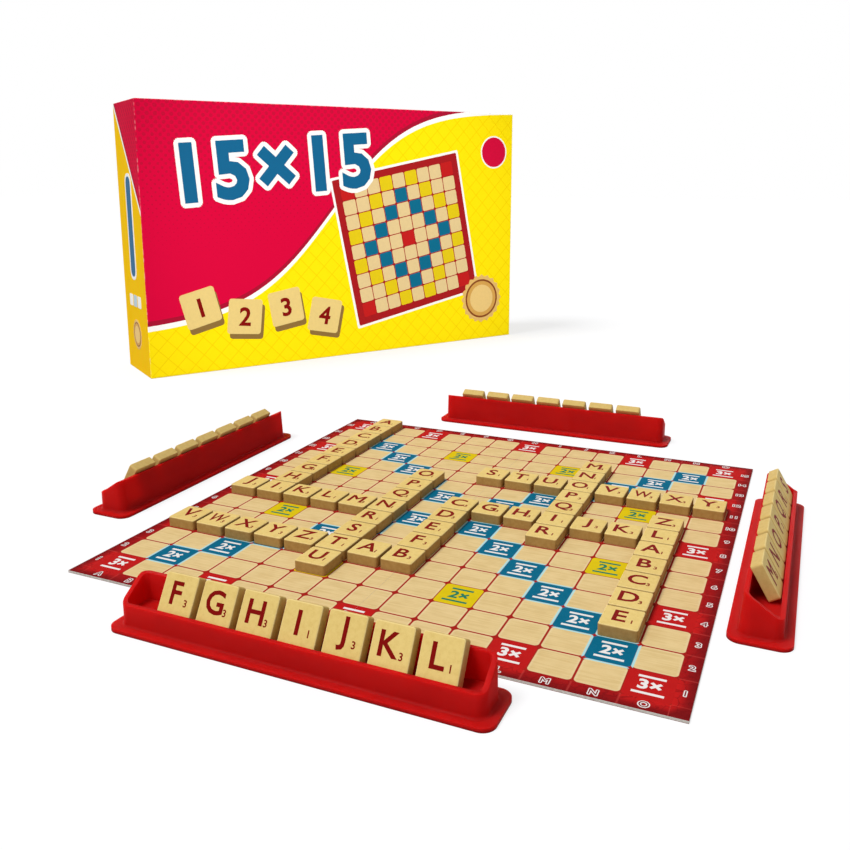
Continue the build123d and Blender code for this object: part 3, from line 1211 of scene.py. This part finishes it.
def print_picture(name, picture, body):
    """A finished picture on the box, which moves with the lid or with the tray."""
    mesh = picture.mesh(name, varnished_print)
    mesh.color_attributes.new("ink", "FLOAT_COLOR", "CORNER")
    for face in mesh.polygons:
        for corner in face.loop_indices:
            mesh.color_attributes["ink"].data[corner].color = picture.inks[face.index]
    mesh.transform(box_place)
    finished_piece(mesh, body, "box_print")


print_picture("lid_picture", picture, "box_lid")

# The back of the tray: the same yellow wrap, printed with a crimson foot under a white line and with a
# grid like the board's. It is guessed, since the photo shows the box from the front.
tray_foot_width = 0.404
tray_foot_height = 0.046
tray_foot_corner = 0.001
tray_foot_middle = (0, -0.0965)
tray_line = 0.0045
tray_line_middle = (0, tray_foot_middle[1] + tray_line / 2)
tray_grid_middle = (0, 0.026)
tray_grid_span = 0.142
tray_back_run = extent("box_base", box_inward)[1] - lid_reach[1][0]
tray_middle = Matrix.Translation((lid_width / 2, tray_back_run, lid_height / 2))
tray_back = tray_middle @ Matrix(((-1, 0, 0, 0), (0, 0, 1, 0), (0, 1, 0, 0), (0, 0, 0, 1)))
tray_picture = BoxPicture()
line_band = soft_rectangle(tray_foot_width, tray_foot_height + tray_line, tray_foot_corner)
tray_picture.paint(line_band, lid_white, 1, tray_line_middle, side=tray_back)
foot_band = soft_rectangle(tray_foot_width, tray_foot_height, tray_foot_corner)
tray_picture.paint(foot_band, lid_crimson, 2, tray_foot_middle, side=tray_back)
paint_grid(tray_picture, tray_grid_middle, tray_grid_span, 0.0, tray_back)
print_picture("tray_picture", tray_picture, "box_tray")

# The table: a wide white sheet that the set stands on. It throws pale light back on the set; where it
# is seen it is greyer and glows, so that it reads as white and the soft shadows on it stay faint.
floor_half = 6.0
floor_grey = "8E8E90"
floor_bounce = "C0C0C0"
floor_lift = 0.745
seen_rays = ("Is Camera Ray", "Is Glossy Ray", "Is Transmission Ray")
plain_white = (1, 1, 1, 1)
floor_mesh = bpy.data.meshes.new("table")
corners = ((-1, -1), (1, -1), (1, 1), (-1, 1))
floor_mesh.from_pydata([(x * floor_half, y * floor_half, 0) for x, y in corners], [], [(0, 1, 2, 3)])
table = new_object("table", floor_mesh)
white_table = Finish("white_table", roughness=0.95, shine=0.0)
white_table.shader.inputs["Emission Color"].default_value = plain_white
seen = 0.0
for ray in seen_rays:
    seen = white_table.math("MAXIMUM", seen, white_table.source("ShaderNodeLightPath", ray))
white_table.colour(white_table.mix(seen, floor_bounce, floor_grey))
white_table.plug(white_table.shader.inputs["Emission Strength"], seen * floor_lift)
floor_mesh.materials.append(white_table.material)

# The light: a soft lamp high on the left and a little to the front, in a pale room, and a second soft
# lamp on a boom for the face of the box, which stands turned away from the first. The second one
# lights only the box.
sun_direction = Vector((-0.30, -0.38, 0.875))
sun_softness = 20.0
sun_strength = 2.37
room_fill = 0.34
backdrop_white = 1.0
box_pieces = ("lid_wrap", "lid_picture", "tray_picture", "box_base", "box_insert", "rules_leaflet")
boom_reach = 1.4
boom_elevation = radians(20.0)
boom_swing = radians(14.0)
boom_cone = 27.0
boom_blend = 0.5
boom_softness = 0.12
boom_power = 58.0
sun = bpy.data.lights.new("soft_key", "SUN")
sun.energy = sun_strength
sun.angle = radians(sun_softness)
sun_object = new_object("soft_key", sun)
sun_object.rotation_euler = sun_direction.to_track_quat("Z", "Y").to_euler()

boom = bpy.data.lights.new("box_lamp", "SPOT")
boom.energy = boom_power
boom.spot_size = radians(boom_cone)
boom.spot_blend = boom_blend
boom.shadow_soft_size = boom_softness
boom_object = new_object("box_lamp", boom)
face_middle = box_place @ Vector((lid_width / 2, 0, lid_height / 2))
boom_level = lid_out * cos(boom_swing) - box_across * sin(boom_swing)
boom_arm = boom_level * cos(boom_elevation) + upward * sin(boom_elevation)
boom_object.location = face_middle + boom_arm * boom_reach
boom_object.rotation_euler = boom_arm.to_track_quat("Z", "Y").to_euler()
lit_pieces = bpy.data.collections.new("lit_by_box_lamp")
for piece in bpy.context.scene.objects:
    if piece.name in box_pieces:
        lit_pieces.objects.link(piece)
boom_object.light_linking.receiver_collection = lit_pieces
boom_object.light_linking.blocker_collection = lit_pieces

room = bpy.data.worlds.new("studio")
bpy.context.scene.world = room
room.use_nodes = True
room_nodes = room.node_tree.nodes
fill = room_nodes["Background"]
backdrop = room_nodes.new("ShaderNodeBackground")
for background, strength in ((fill, room_fill), (backdrop, backdrop_white)):
    background.inputs["Color"].default_value = plain_white
    background.inputs["Strength"].default_value = strength
rays = room_nodes.new("ShaderNodeLightPath").outputs
mirrored = room_nodes.new("ShaderNodeMath")
shown = room_nodes.new("ShaderNodeMath")
for either in (mirrored, shown):
    either.operation = "MAXIMUM"
choose = room_nodes.new("ShaderNodeMixShader")
for start, end in (
    (rays["Is Glossy Ray"], mirrored.inputs[0]),
    (rays["Is Transmission Ray"], mirrored.inputs[1]),
    (rays["Is Camera Ray"], shown.inputs[0]),
    (mirrored.outputs[0], shown.inputs[1]),
    (shown.outputs[0], choose.inputs[0]),
    (fill.outputs[0], choose.inputs[1]),
    (backdrop.outputs[0], choose.inputs[2]),
    (choose.outputs[0], room_nodes["World Output"].inputs["Surface"]),
):
    room.node_tree.links.new(start, end)

# The camera: a short lens that stands low in front of the near rack, a little to the right, and is
# shifted down so that the set fills the frame as in the photo.
azimuth = radians(24.38)
elevation = radians(11.0)
roll = radians(-0.14)
stand = Vector((0.1708, -0.4230, 0.1834))
lens = bpy.data.cameras.new("camera")
lens.sensor_width = 36.0
lens.lens = 37.0
lens.shift_y = -0.0954
camera = new_object("camera", lens)
back = Vector((sin(azimuth) * cos(elevation), -cos(azimuth) * cos(elevation), sin(elevation)))
right = Vector((cos(azimuth), sin(azimuth), 0))
up = back.cross(right)
turned_right = cos(roll) * right + sin(roll) * up
turned_up = cos(roll) * up - sin(roll) * right
looking = Matrix((turned_right, turned_up, back)).transposed().to_4x4()
camera.matrix_world = Matrix.Translation(board_centre + stand) @ looking
bpy.context.scene.camera = camera
bpy.context.scene.view_settings.view_transform = "Standard"
